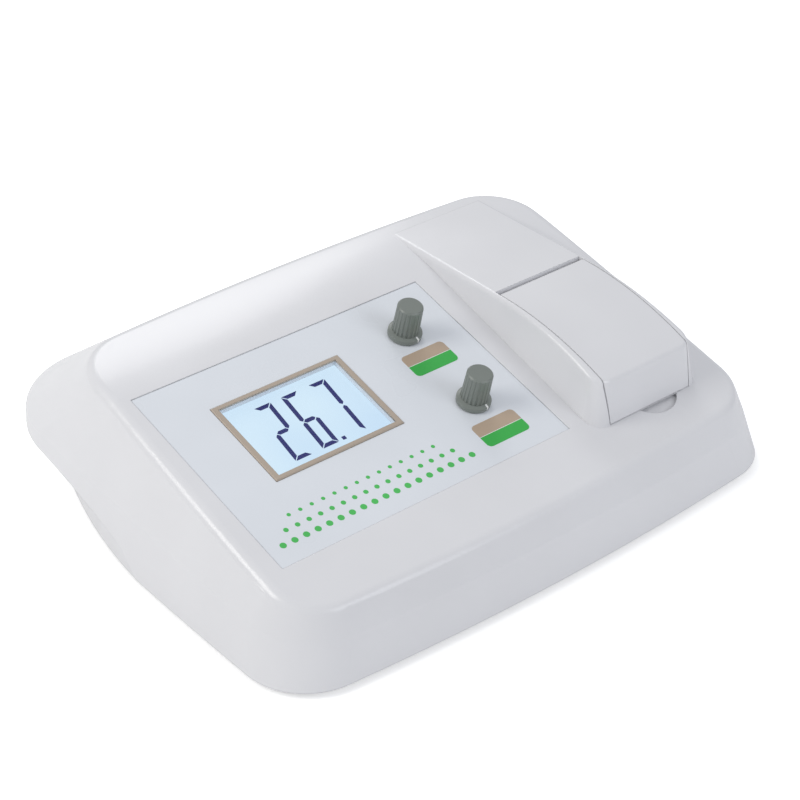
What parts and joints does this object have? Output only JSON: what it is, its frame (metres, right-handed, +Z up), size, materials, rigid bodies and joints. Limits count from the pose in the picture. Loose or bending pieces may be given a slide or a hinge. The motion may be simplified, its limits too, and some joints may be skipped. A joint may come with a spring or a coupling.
{
  "type": "turbidity meter",
  "caption": "Bench turbidity meter: moulded sloped housing with display, two fluted knobs, a hinged light-tight sample lid over a cell well, and rear mains inlet, switch and fuse.",
  "frame": {"origin": "centre of the footprint on the table, level with the undersides of the rubber feet", "axes": "+X to the user's right, +Y to the rear, +Z up from the table"},
  "size_m": [0.2772, 0.236, 0.0798],
  "materials": {
    "housing_abs": "moulded, semi-gloss",
    "base_abs": "moulded, fine texture",
    "foot_rubber": "moulded, matte",
    "zinc_steel": "zinc plated",
    "overlay_film": "printed polycarbonate film",
    "bezel_plastic": "moulded, satin",
    "clear_window": "clear acrylic",
    "lcd_cell": "polarised display cell",
    "diffuser": "milky acrylic",
    "circuit_board": "solder mask",
    "pot_metal": "stamped can",
    "nickel": "nickel plated",
    "shaft_metal": "turned",
    "knob_plastic": "moulded, satin",
    "black_plastic": "moulded, matte",
    "core_steel": "varnished laminations",
    "coil_tape": "winding tape",
    "pin_brass": "nickel brass",
    "rocker_plastic": "moulded",
    "black_aluminium": "black anodised",
    "seal_foam": "foam, matte",
    "lamp_glass": "clear lamp",
    "lens_glass": "polished",
    "can_metal": "metal can",
    "pin_steel": "ground"
  },
  "bodies": {
    "base": {"upper_housing": "housing_abs", "base_plate": "base_abs", "rubber_feet": "foot_rubber", "case_screws": "zinc_steel", "foot_screws": "zinc_steel", "front_overlay": "overlay_film", "display_bezel": "bezel_plastic", "display_window": "clear_window", "lcd_glass": "lcd_cell", "backlight": "diffuser", "display_board": "circuit_board", "display_screws": "zinc_steel", "zero_pot": "pot_metal", "correction_pot": "pot_metal", "pot_washers": "nickel", "pot_nuts": "nickel", "main_board": "circuit_board", "main_board_parts": "black_plastic", "main_board_screws": "zinc_steel", "transformer_core": "core_steel", "transformer_coil": "coil_tape", "transformer_screws": "zinc_steel", "mains_inlet": "black_plastic", "inlet_pins": "pin_brass", "inlet_screws": "zinc_steel", "power_switch": "black_plastic", "fuse_carrier": "black_plastic", "cell_holder": "black_aluminium", "sample_chamber": "black_plastic", "light_seal": "seal_foam", "lamp": "lamp_glass", "lamp_holder": "black_plastic", "lens": "lens_glass", "light_detectors": "can_metal", "detector_boards": "circuit_board", "holder_screws": "zinc_steel", "chamber_screws": "zinc_steel", "hinge_pin": "pin_steel"},
    "lid": {"sample_lid": "housing_abs"},
    "zero": {"zero_shaft": "shaft_metal", "zero_knob": "knob_plastic", "zero_set_screw": "zinc_steel"},
    "correction": {"correction_shaft": "shaft_metal", "correction_knob": "knob_plastic", "correction_set_screw": "zinc_steel"},
    "rocker": {"power_rocker": "rocker_plastic"}
  },
  "joints": [
    {"name": "lid_hinge", "type": "hinge", "parent": "base", "child": "lid", "pos_m": [0.078, -0.0168, 0.0706], "axis": [-1, 0, 0], "range_deg": [0, 100]},
    {"name": "zero_knob_turn", "type": "hinge", "parent": "base", "child": "zero", "pos_m": [0.0113, 0.00039, 0.062], "axis": [0, -0.2504, 0.9681], "range_deg": [-150, 150]},
    {"name": "correction_knob_turn", "type": "hinge", "parent": "base", "child": "correction", "pos_m": [0.0113, -0.0456, 0.05011], "axis": [0, -0.2504, 0.9681], "range_deg": [-150, 150]},
    {"name": "power_rocker_tilt", "type": "hinge", "parent": "base", "child": "rocker", "pos_m": [-0.02, 0.1117, 0.02], "axis": [-1, 0, 0], "range_deg": [0, 20]}
  ]
}
